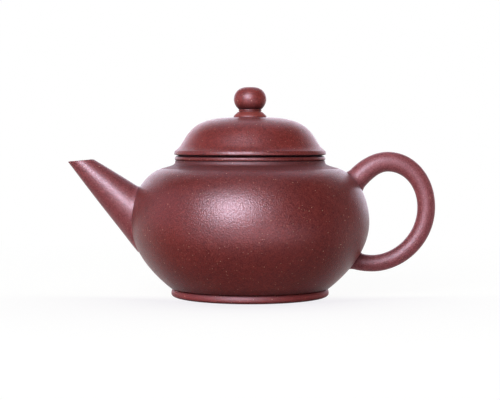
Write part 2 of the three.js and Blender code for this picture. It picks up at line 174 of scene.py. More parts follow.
# Handle: places on its centreline, where it starts and ends on the belly's surface
HANDLE_UPPER = Vector((40.61, 0, 44.50)) * MM
HANDLE_TOP = Vector((53.05, 0, 51.70)) * MM
HANDLE_BACK = Vector((67.9, 0, 34.25)) * MM
HANDLE_BOTTOM = Vector((47.20, 0, 12.53)) * MM
HANDLE_LOWER = Vector((40.0, 0, 13.64)) * MM
HANDLE_RADII = (4.25 * MM, 3.8 * MM, 3.43 * MM, 3.2 * MM, 3.3 * MM)
HANDLE_ROOT_DEPTH = 5 * MM
HANDLE_UPPER_SLOPE = math.radians(48.8)
HANDLE_LOWER_SLOPE = math.radians(17.7)
HANDLE_UPPER_PULLS = (0.354, 0.339)
HANDLE_SHOULDER_PULLS = (0.569, 0.555)
HANDLE_HEEL_PULLS = (0.585, 0.48)
HANDLE_LOWER_PULLS = (0.352, 0.323)
HANDLE_FACETS = 56

# Joints: clay heaped over the roots of the spout and of the handle
FILLET_WIDTH = 1.6 * MM
FILLET_HEIGHT = 0.55 * MM
FLARE_WIDTH = 2.2 * MM
FLARE_HEIGHT = 0.6 * MM
SKIN_OVERLAP = 0.12 * MM

# Facets, and the share of a corner's sides that a curve's pulls take to round it as a circle does
BODY_STEPS = 192
SMALL_STEPS = 96
QUARTER_ROUND = 0.55
WELD_DISTANCE = 0.002 * MM
SMOOTH_ANGLE = math.radians(32)

# The photograph's frame and the camera that its ovals give
PHOTO_WIDTH = 500
PHOTO_HEIGHT = 400
FOCAL_PIXELS = 1390
HORIZON_ROW = 140.5
SENSOR_WIDTH = 36
CAMERA_PLACE = Vector((-0.02, -535.15, 59.85)) * MM


def curve(start, first_pull, last_pull, end, steps):
    """Points of a cubic curve that leaves start towards first_pull and reaches end from last_pull."""
    points = []
    for i in range(steps + 1):
        t = i / steps
        weights = ((1 - t) ** 3, 3 * t * (1 - t) ** 2, 3 * t * t * (1 - t), t**3)
        corners = (start, first_pull, last_pull, end)
        points.append(tuple(sum(w * c[axis] for w, c in zip(weights, corners)) for axis in (0, 1)))
    return points


def rounded(before, corner, after, radius, steps=4):
    """Points that round a corner of an outline off."""
    corner_point = Vector(corner)
    start = corner_point + (Vector(before) - corner_point).normalized() * radius
    end = corner_point + (Vector(after) - corner_point).normalized() * radius
    start_pull = start.lerp(corner_point, QUARTER_ROUND)
    end_pull = end.lerp(corner_point, QUARTER_ROUND)
    return curve(start, start_pull, end_pull, end, steps)


def bead(inner_radius, outer_radius, bottom, top, steps=14):
    """Points of a half-round moulding between two heights."""
    middle = (bottom + top) / 2
    half = (top - bottom) / 2
    points = []
    for i in range(steps + 1):
        turn = math.pi * (i / steps - 0.5)
        radius = inner_radius + (outer_radius - inner_radius) * math.cos(turn)
        points.append((radius, middle + half * math.sin(turn)))
    return points


def moved_in(points, distance):
    """An outline drawn upwards, moved inwards at right angles to itself."""
    moved = []
    for i, point in enumerate(points):
        before = Vector(points[max(i - 1, 0)])
        after = Vector(points[min(i + 1, len(points) - 1)])
        along = (after - before).normalized()
        moved.append((point[0] - along.y * distance, point[1] + along.x * distance))
    return moved


def choose(kind, test):
    """Selects, in edit mode, only the verts, edges or faces that pass a test."""
    bpy.ops.mesh.select_mode(type=kind)
    bpy.ops.mesh.select_all(action="DESELECT")
    mesh = bmesh.from_edit_mesh(bpy.context.object.data)
    parts = {"VERT": mesh.verts, "EDGE": mesh.edges, "FACE": mesh.faces}[kind]
    for part in parts:
        if test(part):
            part.select_set(True)
    mesh.select_flush_mode()
    bmesh.update_edit_mesh(bpy.context.object.data)


def only(piece):
    """Makes a piece the only selected object and the active one."""
    bpy.ops.object.select_all(action="DESELECT")
    piece.select_set(True)
    bpy.context.view_layer.objects.active = piece


def settle(piece):
    """Puts a piece's place, turn and size into its mesh."""
    only(piece)
    bpy.ops.object.transform_apply(location=True, rotation=True, scale=True)


def shade(piece):
    """Smooth clay, with its tooled edges left sharp."""
    only(piece)
    bpy.ops.object.shade_smooth_by_angle(angle=SMOOTH_ANGLE)


def remove(piece):
    """Takes a helping solid away again."""
    only(piece)
    bpy.ops.object.delete()


def thrown(name, outline, steps=BODY_STEPS):
    """A piece turned on the wheel: an outline of (radius, height) points spun about the Z axis."""
    radius, height = outline[0]
    bpy.ops.object.select_all(action="DESELECT")
    bpy.ops.mesh.primitive_plane_add(size=MM, location=(radius, 0, height))
    piece = bpy.context.object
    piece.name = name
    settle(piece)
    bpy.ops.object.mode_set(mode="EDIT")
    bpy.ops.mesh.select_all(action="SELECT")
    bpy.ops.mesh.merge(type="CENTER")
    for here, there in zip(outline, outline[1:]):
        step = (there[0] - here[0], 0, there[1] - here[1])
        bpy.ops.mesh.extrude_region_move(TRANSFORM_OT_translate={"value": step})
    bpy.ops.mesh.select_all(action="SELECT")
    bpy.ops.mesh.spin(steps=steps, angle=math.tau, center=(0, 0, 0), axis=(0, 0, 1))
    bpy.ops.mesh.select_all(action="SELECT")
    bpy.ops.mesh.remove_doubles(threshold=WELD_DISTANCE)
    bpy.ops.mesh.normals_make_consistent(inside=False)
    bpy.ops.object.mode_set(mode="OBJECT")
    return piece


def closed(outline):
    """An outline led back to where it starts."""
    return [*outline, outline[0]]


def carve(piece, cutter, keep_cutter=False):
    """Cuts one solid out of another."""
    only(piece)
    cut = piece.modifiers.new("cut", "BOOLEAN")
    cut.operation = "DIFFERENCE"
    cut.solver = "EXACT"
    cut.object = cutter
    bpy.ops.object.modifier_apply(modifier=cut.name)
    if not keep_cutter:
        remove(cutter)


def work_joint(piece, surface, test, width, height, way):
    """Heaps clay on a joint: a root's skin swells where it nears the surface that it is luted to."""
    only(piece)
    bpy.ops.object.vertex_group_add()
    bpy.ops.object.mode_set(mode="EDIT")
    choose("VERT", test)
    bpy.ops.object.vertex_group_assign()
    bpy.ops.object.mode_set(mode="OBJECT")
    group = piece.vertex_groups[-1].name
    near = piece.modifiers.new("near", "VERTEX_WEIGHT_PROXIMITY")
    near.vertex_group = group
    near.target = surface
    near.proximity_mode = "GEOMETRY"
    near.proximity_geometry = {"FACE"}
    near.min_dist = width
    near.max_dist = 0
    near.falloff_type = "SHARP"
    bpy.ops.object.modifier_apply(modifier=near.name)
    swell = piece.modifiers.new("swell", "DISPLACE")
    swell.vertex_group = group
    swell.direction = way
    swell.strength = height
    swell.mid_level = 0
    bpy.ops.object.modifier_apply(modifier=swell.name)


# Outlines of the pot
def belly_outline():
    """From the foot to the ledge, in two sweeps that meet upright at the equator."""
    lower_rise = EQUATOR_HEIGHT - FOOT_TOP
    upper_rise = LEDGE_HEIGHT - EQUATOR_HEIGHT
    foot_pull = BELLY_FOOT_PULL * lower_rise
    neck_pull = BELLY_NECK_PULL * upper_rise
    lower = curve(
        (BELLY_LOW_RADIUS, FOOT_TOP),
        (BELLY_LOW_RADIUS + BELLY_FOOT_LEAN * foot_pull, FOOT_TOP + foot_pull),
        (EQUATOR_RADIUS, EQUATOR_HEIGHT - BELLY_LOWER_PULL * lower_rise),
        (EQUATOR_RADIUS, EQUATOR_HEIGHT),
        36,
    )
    upper = curve(
        (EQUATOR_RADIUS, EQUATOR_HEIGHT),
        (EQUATOR_RADIUS, EQUATOR_HEIGHT + BELLY_UPPER_PULL * upper_rise),
        (NECK_FOOT_RADIUS + BELLY_NECK_LEAN * neck_pull, LEDGE_HEIGHT - neck_pull),
        (NECK_FOOT_RADIUS, LEDGE_HEIGHT),
        36,
    )
    return [*lower, *upper[1:]]


def belly_core(inset):
    """Solid body of the belly, cut into by the roots of the spout and the handle."""
    skin = moved_in(belly_outline(), inset)
    return thrown("belly_core", [(0, skin[0][1]), *skin, (0, skin[-1][1])])


def pot_belly():
    """The hollow body, with the inward toe over the foot and the ledge under the neck."""
    outer = belly_outline()
    inner = moved_in(outer, BELLY_WALL)[::-1]
    return thrown(
        "pot_belly",
        closed(
            [
                *outer,
                (MOUTH_RADIUS, LEDGE_HEIGHT),
                (MOUTH_RADIUS, inner[0][1]),
                *inner,
                (FOOT_INNER_RADIUS, BASE_TOP),
                (FOOT_INNER_RADIUS, FOOT_TOP),
            ]
        ),
    )


def pierce_wall(belly):
    """The round hole through the belly's wall that the strainer covers."""
    bpy.ops.object.select_all(action="DESELECT")
    bpy.ops.mesh.primitive_cylinder_add(
        vertices=64,
        radius=WALL_HOLE_RADIUS,
        depth=BELLY_WALL * 4,
        location=STRAINER_CENTRE,
        rotation=(0, math.pi / 2, 0),
    )
    carve(belly, bpy.context.object)


def pot_foot():
    """A half-round bead on a narrow sole, hollowed behind."""
    radius, widest = FOOT_BEAD_RADIUS, FOOT_BEAD_WIDEST
    shelf, seam = radius - FOOT_BEAD_SHELF, FOOT_TOP - FOOT_SEAM
    lower = curve(
        (radius - FOOT_BEAD_SOLE, 0),
        (radius - FOOT_BEAD_SOLE / 2, 0),
        (radius, widest * (1 - QUARTER_ROUND)),
        (radius, widest),
        8,
    )
    upper = curve(
        (radius, widest),
        (radius, widest + QUARTER_ROUND * (FOOT_TOP - widest)),
        (radius - 0.65 * MM, seam),
        (shelf, seam),
        10,
    )
    inner = curve(
        (FOOT_INNER_RADIUS, FOOT_TOP / 2),
        (FOOT_INNER_RADIUS, FOOT_TOP / 5),
        (FOOT_FLAT_INNER - 0.5 * MM, 0),
        (FOOT_FLAT_INNER, 0),
        8,
    )
    top = [(shelf, FOOT_TOP), (FOOT_INNER_RADIUS, FOOT_TOP)]
    return thrown("pot_foot", closed([*lower, *upper[1:], *top, *inner]))


def pot_base():
    """The disc that closes the bottom, its underside slightly hollow."""
    return thrown(
        "pot_base",
        [
            (0, BASE_LOW + BASE_SAG),
            (FOOT_INNER_RADIUS / 2, BASE_LOW + BASE_SAG * 2 / 3),
            (FOOT_INNER_RADIUS - 2 * BASE_EDGE_ROUND, BASE_LOW),
            (FOOT_INNER_RADIUS, BASE_LOW + BASE_EDGE_ROUND / 2),
            (FOOT_INNER_RADIUS, BASE_TOP),
            (0, BASE_TOP),
        ],
    )


def pot_neck():
    """Rises almost upright to the mouth and bends out into the shoulder."""
    rise = NECK_TOP - NECK_EDGE_ROUND - LEDGE_HEIGHT
    flare = NECK_FOOT_RADIUS - NECK_RADIUS
    edge = (NECK_RADIUS, NECK_TOP - NECK_EDGE_ROUND)
    sweep = curve(
        (NECK_FOOT_RADIUS, LEDGE_HEIGHT),
        (NECK_FOOT_RADIUS - NECK_FOOT_PULL_IN * flare, LEDGE_HEIGHT + NECK_FOOT_PULL_UP * rise),
        (NECK_RADIUS, edge[1] - NECK_TOP_PULL * rise),
        edge,
        18,
    )
    lip = rounded(edge, (NECK_RADIUS, NECK_TOP), (GROOVE_RADIUS, NECK_TOP), NECK_EDGE_ROUND)
    bore = [(GROOVE_RADIUS, NECK_TOP), (MOUTH_RADIUS, NECK_TOP), (MOUTH_RADIUS, LEDGE_HEIGHT)]
    return thrown("pot_neck", closed([*sweep[:-1], *lip, *bore]))


def pot_mouth():
    """The rolled bead on which the lid sits."""
    moulding = bead(GROOVE_RADIUS - MOUTH_BEAD_OVERLAP, MOUTH_BEAD_RADIUS, NECK_TOP, MOUTH_TOP)
    corner, bottom = (MOUTH_RADIUS, MOUTH_TOP), (MOUTH_RADIUS, NECK_TOP)
    inner_edge = rounded(moulding[-1], corner, bottom, MOUTH_EDGE_ROUND)
    return thrown("pot_mouth", closed([*moulding, *inner_edge, bottom]))


# Spout
def spout_radius(along):
    """Outer radius at a distance back from the tip, with a slight fullness along the body."""
    share = min(max(along / SPOUT_BODY_LENGTH, 0), 1)
    return SPOUT_TIP_RADIUS + along * math.tan(SPOUT_FLARE) + SPOUT_BULGE * math.sin(math.pi * share)


def pot_spout(core):
    """A hollow cone, leaned over, trimmed at its tip and fitted to the belly with a soft fillet."""
    length = SPOUT_OVERRUN + SPOUT_BODY_LENGTH + SPOUT_ROOT_DEPTH
    stops = [-SPOUT_OVERRUN + length * i / SPOUT_RINGS for i in range(SPOUT_RINGS + 1)]
    outer = [(spout_radius(along), -along) for along in reversed(stops)]
    inner = []
    for along in stops[::SPOUT_RINGS_PER_BORE_RING] + stops[-1:]:
        wall = SPOUT_TIP_WALL + (SPOUT_ROOT_WALL - SPOUT_TIP_WALL) * along / SPOUT_BODY_LENGTH
        inner.append((spout_radius(along) - wall, -along))
    spout = thrown("pot_spout", closed([*outer, *inner]), SPOUT_FACETS)
    spout.rotation_euler = (0, SPOUT_DIP - math.pi / 2, 0)
    spout.location = SPOUT_TIP
    settle(spout)
    trim_tip(spout)
    axis = Vector((math.cos(SPOUT_DIP), 0, -math.sin(SPOUT_DIP)))

    def on_the_outside(vertex):
        offset = vertex.co - SPOUT_TIP
        along = offset.dot(axis)
        skin = spout_radius(along) - SPOUT_SKIN_DEPTH
        return along > SPOUT_BODY_LENGTH / 3 and (offset - axis * along).length > skin

    work_joint(spout, core, on_the_outside, FILLET_WIDTH, FILLET_HEIGHT, "Z")
    carve(spout, core, keep_cutter=True)
    return spout


def trim_tip(spout):
    """Cuts the tip nearly level, closes the wall there and rounds both its edges."""
    level = Vector((-math.sin(TIP_TILT), 0, math.cos(TIP_TILT)))
    only(spout)
    bpy.ops.object.mode_set(mode="EDIT")
    bpy.ops.mesh.select_all(action="SELECT")
    bpy.ops.mesh.bisect(plane_co=SPOUT_TIP + Vector((0, 0, TIP_RISE)), plane_no=level, clear_outer=True)
    choose("EDGE", lambda edge: edge.is_boundary)
    bpy.ops.mesh.bridge_edge_loops()
    bpy.ops.mesh.region_to_loop()
    bpy.ops.mesh.bevel(offset=TIP_ROUND, segments=5, affect="EDGES")
    bpy.ops.object.mode_set(mode="OBJECT")


def pot_strainer():
    """A pierced half ball, open towards the spout."""
    bpy.ops.object.select_all(action="DESELECT")
    bpy.ops.mesh.primitive_uv_sphere_add(
        segments=64,
        ring_count=32,
        radius=STRAINER_RADIUS,
        location=STRAINER_CENTRE,
        rotation=(0, math.pi / 2, 0),
    )
    ball = bpy.context.object
    ball.name = "pot_strainer"
    settle(ball)
    bpy.ops.object.mode_set(mode="EDIT")
    bpy.ops.mesh.select_all(action="SELECT")
    bpy.ops.mesh.bisect(plane_co=STRAINER_CENTRE, plane_no=(1, 0, 0), clear_inner=True)
    bpy.ops.object.mode_set(mode="OBJECT")
    wall = ball.modifiers.new("wall", "SOLIDIFY")
    wall.thickness = STRAINER_WALL
    wall.offset = -1
    bpy.ops.object.modifier_apply(modifier=wall.name)
    carve(ball, strainer_pins())
    return ball


def strainer_pins():
    """The pins that the holes of the strainer are pushed through with, joined into one."""
    pins = []
    for count, tilt in STRAINER_RINGS:
        for i in range(count):
            lean = math.radians(tilt)
            turn = math.tau * i / count
            across = math.sin(lean)
            way = Vector((math.cos(lean), across * math.sin(turn), across * math.cos(turn)))
            bpy.ops.mesh.primitive_cylinder_add(
                vertices=20,
                radius=STRAINER_HOLE_RADIUS,
                depth=STRAINER_WALL * 4,
                location=STRAINER_CENTRE + way * STRAINER_RADIUS,
                rotation=way.to_track_quat("Z", "Y").to_euler(),
            )
            pins.append(bpy.context.object)
    only(pins[0])
    for pin in pins:
        pin.select_set(True)
    bpy.ops.object.join()
    return bpy.context.object


# Handle
def handle_legs():
    """The curves of the handle's centreline in the XZ plane, each with its end radius and its rings."""
    upper_way = Vector((math.cos(HANDLE_UPPER_SLOPE), 0, math.sin(HANDLE_UPPER_SLOPE)))
    lower_way = Vector((math.cos(HANDLE_LOWER_SLOPE), 0, -math.sin(HANDLE_LOWER_SLOPE)))
    first_span = (HANDLE_TOP - HANDLE_UPPER).length
    last_span = (HANDLE_BOTTOM - HANDLE_LOWER).length
    top, back, bottom = HANDLE_TOP, HANDLE_BACK, HANDLE_BOTTOM
    upper_end = HANDLE_UPPER - upper_way * HANDLE_ROOT_DEPTH
    lower_end = HANDLE_LOWER - lower_way * HANDLE_ROOT_DEPTH
    upper_radius, top_radius, back_radius, bottom_radius, lower_radius = HANDLE_RADII
    shoulder_pulls, heel_pulls = HANDLE_SHOULDER_PULLS, HANDLE_HEEL_PULLS
    return [
        (upper_end, upper_end, HANDLE_UPPER, HANDLE_UPPER, upper_radius, 12),
        (
            HANDLE_UPPER,
            HANDLE_UPPER + upper_way * HANDLE_UPPER_PULLS[0] * first_span,
            Vector((top.x - HANDLE_UPPER_PULLS[1] * first_span, 0, top.z)),
            top,
            top_radius,
            64,
        ),
        (
            top,
            Vector((top.x + shoulder_pulls[0] * (back.x - top.x), 0, top.z)),
            Vector((back.x, 0, back.z + shoulder_pulls[1] * (top.z - back.z))),
            back,
            back_radius,
            28,
        ),
        (
            back,
            Vector((back.x, 0, back.z - heel_pulls[0] * (back.z - bottom.z))),
            Vector((bottom.x + heel_pulls[1] * (back.x - bottom.x), 0, bottom.z)),
            bottom,
            bottom_radius,
            32,
        ),
        (
            bottom,
            Vector((bottom.x - HANDLE_LOWER_PULLS[0] * last_span, 0, bottom.z)),
            HANDLE_LOWER + lower_way * HANDLE_LOWER_PULLS[1] * last_span,
            HANDLE_LOWER,
            lower_radius,
            32,
        ),
        (HANDLE_LOWER, HANDLE_LOWER, lower_end, lower_end, lower_radius, 8),
    ]


def handle_line():
    """Points and radii along the handle, close enough together for a smooth rod."""
    points = [handle_legs()[0][0]]
    radii = [HANDLE_RADII[0]]
    for start, first_pull, last_pull, end, radius, steps in handle_legs():
        start_radius = radii[-1]
        flat = [(p.x, p.z) for p in (start, first_pull, last_pull, end)]
        for i, (x, z) in enumerate(curve(*flat, steps)[1:], 1):
            ease = (1 - math.cos(math.pi * i / steps)) / 2
            points.append(Vector((x, 0, z)))
            radii.append(start_radius + (radius - start_radius) * ease)
    return points, radii


def heading(way):
    """Angle of a direction in the XZ plane, from +Z towards +X."""
    return math.atan2(way.x, way.z)


def pot_handle(core):
    """A round rod drawn out ring by ring along its centreline, flared at both roots."""
    points, radii = handle_line()
    facing = heading(points[1] - points[0])
    bpy.ops.object.select_all(action="DESELECT")
    bpy.ops.mesh.primitive_circle_add(
        vertices=HANDLE_FACETS,
        radius=radii[0],
        fill_type="NGON",
        location=points[0],
        rotation=(0, facing, 0),
    )
    rod = bpy.context.object
    rod.name = "pot_handle"
    settle(rod)
    bpy.ops.object.mode_set(mode="EDIT")
    bpy.ops.mesh.select_all(action="SELECT")
    for i in range(1, len(points)):
        after = points[min(i + 1, len(points) - 1)]
        turn = heading(after - points[i - 1]) - facing
        turn = (turn + math.pi) % math.tau - math.pi
        growth = radii[i] / radii[i - 1]
        bpy.ops.mesh.extrude_region_move(TRANSFORM_OT_translate={"value": points[i] - points[i - 1]})
        bpy.ops.transform.rotate(value=-turn, orient_axis="Y", center_override=points[i])
        bpy.ops.transform.resize(value=(growth,) * 3, center_override=points[i])
        facing += turn
    bpy.ops.mesh.select_all(action="SELECT")
    bpy.ops.mesh.normals_make_consistent(inside=False)
    bpy.ops.object.mode_set(mode="OBJECT")
    work_joint(rod, core, lambda vertex: True, FLARE_WIDTH, FLARE_HEIGHT, "NORMAL")
    carve(rod, core, keep_cutter=True)
    return rod


# Lid
def lid_plate():
    """The domed plate: a flared lip, a round shoulder, a low crown, and the hollow underneath."""
    lip = (RIM_RADIUS - RIM_ROUND, RIM_TOP)
    shoulder = (RIM_RADIUS - LIP_WIDTH, RIM_TOP + LIP_HEIGHT)
    dome_rise = CROWN - shoulder[1]
    shoulder_pull = DOME_SHOULDER_PULL * dome_rise
    lip_pull = LIP_SHOULDER_PULL * LIP_HEIGHT
    flare = curve(
        lip,
        (lip[0] - LIP_PULL_IN * LIP_WIDTH, lip[1] + LIP_PULL_UP * LIP_HEIGHT),
        (shoulder[0] + DOME_SHOULDER_LEAN * lip_pull, shoulder[1] - lip_pull),
        shoulder,
        12,
    )
    dome = curve(
        shoulder,
        (shoulder[0] - DOME_SHOULDER_LEAN * shoulder_pull, shoulder[1] + shoulder_pull),
        (DOME_CROWN_PULL * shoulder[0], CROWN),
        (KNOB_FOOT_RADIUS, CROWN),
        40,
    )
    hollow_radius = FLANGE_RADIUS - FLANGE_WALL * 0.75
    hollow_top = CROWN - DOME_WALL
    hollow = curve(
        (VENT_RADIUS, hollow_top),
        (HOLLOW_CROWN_PULL * hollow_radius, hollow_top),
        (hollow_radius, RIM_TOP + HOLLOW_SIDE_PULL * (hollow_top - RIM_TOP)),
        (hollow_radius, RIM_TOP),
        30,
    )
    return thrown("lid_plate", closed([*flare, *dome[1:], (VENT_RADIUS, CROWN), *hollow]))


def lid_edge():
    """The lip carried on from the flare: out to its widest, then sloping in to the seat."""
    seat = (RIM_RADIUS - RIM_UNDERCUT, RIM_LOW)
    widest = (RIM_RADIUS, RIM_WIDEST)
    lip = (RIM_RADIUS - RIM_ROUND, RIM_TOP)
    under = curve(
        seat,
        (seat[0] + 0.6 * RIM_UNDERCUT, RIM_LOW + 0.25 * MM),
        (RIM_RADIUS, RIM_WIDEST - 0.25 * MM),
        widest,
        10,
    )
    upper = curve(
        widest,
        (RIM_RADIUS, RIM_WIDEST + 0.55 * MM),
        (lip[0] + 0.25 * MM, RIM_TOP - 0.2 * MM),
        lip,
        8,
    )
    seat_height = MOUTH_TOP + RIM_SEAT_GAP
    seat_edge = (RIM_RADIUS - RIM_SEAT_WIDTH, seat_height)
    bore = [(FLANGE_RADIUS, RIM_TOP), (FLANGE_RADIUS, seat_height), seat_edge]
    return thrown("lid_edge", closed([*under, *upper[1:], *bore]))


def lid_seat():
    """The flange that drops into the mouth."""
    inner = FLANGE_RADIUS - FLANGE_WALL
    outer_low = (FLANGE_RADIUS - FLANGE_TAPER, FLANGE_LOW)
    inner_low = (inner, FLANGE_LOW)
    return thrown(
        "lid_seat",
        closed(
            [
                *rounded(inner_low, outer_low, (FLANGE_RADIUS, RIM_LOW), FLANGE_EDGE_ROUND),
                (FLANGE_RADIUS, RIM_LOW),
                (FLANGE_RADIUS, RIM_TOP),
                (inner, RIM_TOP),
                *rounded((inner, RIM_TOP), inner_low, outer_low, FLANGE_EDGE_ROUND),
            ]
        ),
    )


def knob_flare():
    """The knob's foot: worked out onto the lid, sloping in, with a groove under the collar."""
    rise = KNOB_FOOT_TOP - CROWN
    edge = (KNOB_FOOT_RADIUS, CROWN + KNOB_TOE_HEIGHT * rise)
    toe = (KNOB_FOOT_RADIUS + KNOB_TOE_WIDTH, CROWN - KNOB_TOE_SUNK)
    shoulder = (KNOB_NECK_RADIUS + KNOB_SHOULDER_WIDTH, KNOB_FOOT_TOP - KNOB_SHOULDER_DROP * rise)
    spread_toe = curve(
        toe,
        (toe[0] - 0.35 * MM, toe[1]),
        (edge[0], edge[1] - 0.15 * rise),
        edge,
        6,
    )
    slope = curve(
        edge,
        (edge[0], edge[1] + 0.25 * rise),
        (shoulder[0] + 0.3 * MM, shoulder[1] - 0.15 * rise),
        shoulder,
        14,
    )
    groove = curve(
        shoulder,
        (shoulder[0] - 0.3 * MM, shoulder[1]),
        (KNOB_NECK_RADIUS, KNOB_FOOT_TOP - 0.12 * rise),
        (KNOB_NECK_RADIUS, KNOB_FOOT_TOP),
        6,
    )
    bore = [(VENT_RADIUS, KNOB_FOOT_TOP), (VENT_RADIUS, toe[1])]
    return thrown("knob_flare", closed([*spread_toe, *slope[1:], *groove[1:], *bore]), SMALL_STEPS)


def knob_band():
    """The fine collar between foot and ball."""
    moulding = bead(KNOB_NECK_RADIUS, COLLAR_RADIUS, KNOB_FOOT_TOP, COLLAR_TOP)
    bore = [(VENT_RADIUS, COLLAR_TOP), (VENT_RADIUS, KNOB_FOOT_TOP)]
    return thrown("knob_band", closed([*moulding, *bore]), SMALL_STEPS)


def knob_ball():
    """The slightly flattened ball, with the vent through it rounded at the top."""
    spread = BALL_RADIUS - KNOB_NECK_RADIUS
    lower_rise = BALL_WAIST - COLLAR_TOP
    upper_rise = KNOB_TOP - BALL_WAIST
    lower = curve(
        (KNOB_NECK_RADIUS, COLLAR_TOP),
        (KNOB_NECK_RADIUS + BALL_FOOT_PULL_OUT * spread, COLLAR_TOP + BALL_FOOT_PULL_UP * lower_rise),
        (BALL_RADIUS, BALL_WAIST - BALL_LOWER_PULL * lower_rise),
        (BALL_RADIUS, BALL_WAIST),
        16,
    )
    vent_edge = (VENT_RADIUS + VENT_ROUND, KNOB_TOP)
    vent_foot = (VENT_RADIUS, COLLAR_TOP)
    upper = curve(
        (BALL_RADIUS, BALL_WAIST),
        (BALL_RADIUS, BALL_WAIST + BALL_UPPER_PULL * upper_rise),
        (BALL_CROWN_PULL * BALL_RADIUS, KNOB_TOP),
        vent_edge,
        24,
    )
    vent = rounded(vent_edge, (VENT_RADIUS, KNOB_TOP), vent_foot, VENT_ROUND)
    return thrown("knob_top", closed([*lower, *upper[1:], *vent[1:], vent_foot]), SMALL_STEPS)


# Wiring of the finishes
class Wiring:
    """A tree of shader nodes being put together."""

    def __init__(self, tree):
        self.nodes = tree.nodes
        self.links = tree.links

    def feed(self, socket, value):
        """Gives a socket a plain value or another node's output."""
        if isinstance(value, bpy.types.NodeSocket):
            self.links.new(value, socket)
        else:
            socket.default_value = value

    def spread(self, value, from_low, from_high, to_low=0.0, to_high=1.0):
        """One range of values stretched onto another, and held at its ends."""
        node = self.nodes.new("ShaderNodeMapRange")
        self.feed(node.inputs["Value"], value)
        self.feed(node.inputs["From Min"], from_low)
        self.feed(node.inputs["From Max"], from_high)
        self.feed(node.inputs["To Min"], to_low)
        self.feed(node.inputs["To Max"], to_high)
        return node.outputs["Result"]

    def combine(self, how, first, second):
        """Two numbers worked into one."""
        node = self.nodes.new("ShaderNodeMath")
        node.operation = how
        self.feed(node.inputs[0], first)
        self.feed(node.inputs[1], second)
        return node.outputs["Value"]

    def plus(self, first, second):
        return self.combine("ADD", first, second)

    def times(self, first, second):
        return self.combine("MULTIPLY", first, second)

    def larger(self, first, second):
        return self.combine("MAXIMUM", first, second)

    def mix(self, amount, first, second):
        """One colour giving way to another."""
        node = self.nodes.new("ShaderNodeMix")
        node.data_type = "RGBA"
        self.feed(node.inputs["Factor"], amount)
        self.feed(node.inputs["A"], first)
        self.feed(node.inputs["B"], second)
        return node.outputs["Result"]

    def surface(self, kind, colour, strength=None):
        """A plain shader of one colour."""
        node = self.nodes.new(kind)
        self.feed(node.inputs["Color"], colour)
        if strength is not None:
            self.feed(node.inputs["Strength"], strength)
        return node.outputs[0]

    def layered(self, kind, *inputs):
        """Two surfaces in one: added together, or the first giving way to the second by an amount."""
        node = self.nodes.new(kind)
        for socket, value in zip(node.inputs, inputs):
            self.feed(socket, value)
        return node.outputs[0]

    def distance_back(self, place):
        """How far back a place lies, along +Y."""
        node = self.nodes.new("ShaderNodeSeparateXYZ")
        self.feed(node.inputs["Vector"], place)
        return node.outputs["Y"]

    def seen_directly(self, gloss_share=None):
        """1 for the camera's rays and for rays in gloss or through glass, these by a share if given."""
        path = self.nodes.new("ShaderNodeLightPath").outputs
        bounced = self.larger(path["Is Glossy Ray"], path["Is Transmission Ray"])
        if gloss_share:
            bounced = self.times(bounced, gloss_share)
        return self.larger(path["Is Camera Ray"], bounced)


class Finish(Wiring):
    """A material, with the Principled shader at the end of its wiring."""

    def __init__(self, name):
        self.material = bpy.data.materials.new(name)
        self.material.use_nodes = True
        super().__init__(self.material.node_tree)
        self.shader = self.nodes["Principled BSDF"]
        self.place = self.nodes.new("ShaderNodeTexCoord").outputs["Object"]

    def noise(self, size, detail=2.0, roughness=0.5, stretch=(1, 1, 1)):
        """Noise whose features are about one size across."""
        mapping = self.nodes.new("ShaderNodeMapping")
        self.feed(mapping.inputs["Vector"], self.place)
        self.feed(mapping.inputs["Scale"], stretch)
        node = self.nodes.new("ShaderNodeTexNoise")
        self.feed(node.inputs["Vector"], mapping.outputs["Vector"])
        self.feed(node.inputs["Scale"], 1 / size)
        self.feed(node.inputs["Detail"], detail)
        self.feed(node.inputs["Roughness"], roughness)
        return node.outputs["Fac"]

    def specks(self, spacing, size, share):
        """Round grains, most of them faint, in a share of the places that are a spacing apart."""
        cells = self.nodes.new("ShaderNodeTexVoronoi")
        self.feed(cells.inputs["Vector"], self.place)
        self.feed(cells.inputs["Scale"], 1 / spacing)
        split = self.nodes.new("ShaderNodeSeparateColor")
        self.feed(split.inputs["Color"], cells.outputs["Color"])
        picked = self.spread(split.outputs["Red"], share, share - 0.02)
        radius = size / spacing / 2
        width = self.spread(split.outputs["Green"], 0, 1, radius * 0.6, radius * 1.3)
        inside = self.combine("SUBTRACT", width, cells.outputs["Distance"])
        dot = self.spread(inside, 0, radius * 0.5)
        depth = self.combine("POWER", split.outputs["Blue"], 2)
        strength = self.spread(depth, 0, 1, 0.15, 1)
        return self.times(self.times(dot, picked), strength)

    def occlusion_shade(self, reach, deepest, least):
        """Painted shade from occlusion: least in the bottom of a groove or crease and under an overhang,
        1 on open clay.
        """
        node = self.nodes.new("ShaderNodeAmbientOcclusion")
        node.samples = 8
        self.feed(node.inputs["Distance"], reach)
        return self.spread(node.outputs["AO"], deepest, deepest + 0.6, least, 1)

    def bump(self, height, depth, strength=1.0):
        """Relief, on top of any relief that the finish already has."""
        node = self.nodes.new("ShaderNodeBump")
        self.feed(node.inputs["Strength"], strength)
        self.feed(node.inputs["Distance"], depth)
        self.feed(node.inputs["Height"], height)
        normal = self.shader.inputs["Normal"]
        if normal.is_linked:
            self.feed(node.inputs["Normal"], normal.links[0].from_socket)
        self.feed(normal, node.outputs["Normal"])


def tint(red, green, blue):
    """A colour as the eye names it, from 0 to 255."""

    def linear(value):
        value /= 255
        return value / 12.92 if value <= 0.04045 else ((value + 0.055) / 1.055) ** 2.4

    return (linear(red), linear(green), linear(blue), 1)


def shaded(colour, share):
    """A clay made lighter or darker by a share, for lit and shaded copies of one clay."""
    return (*[value * share for value in colour[:3]], 1)
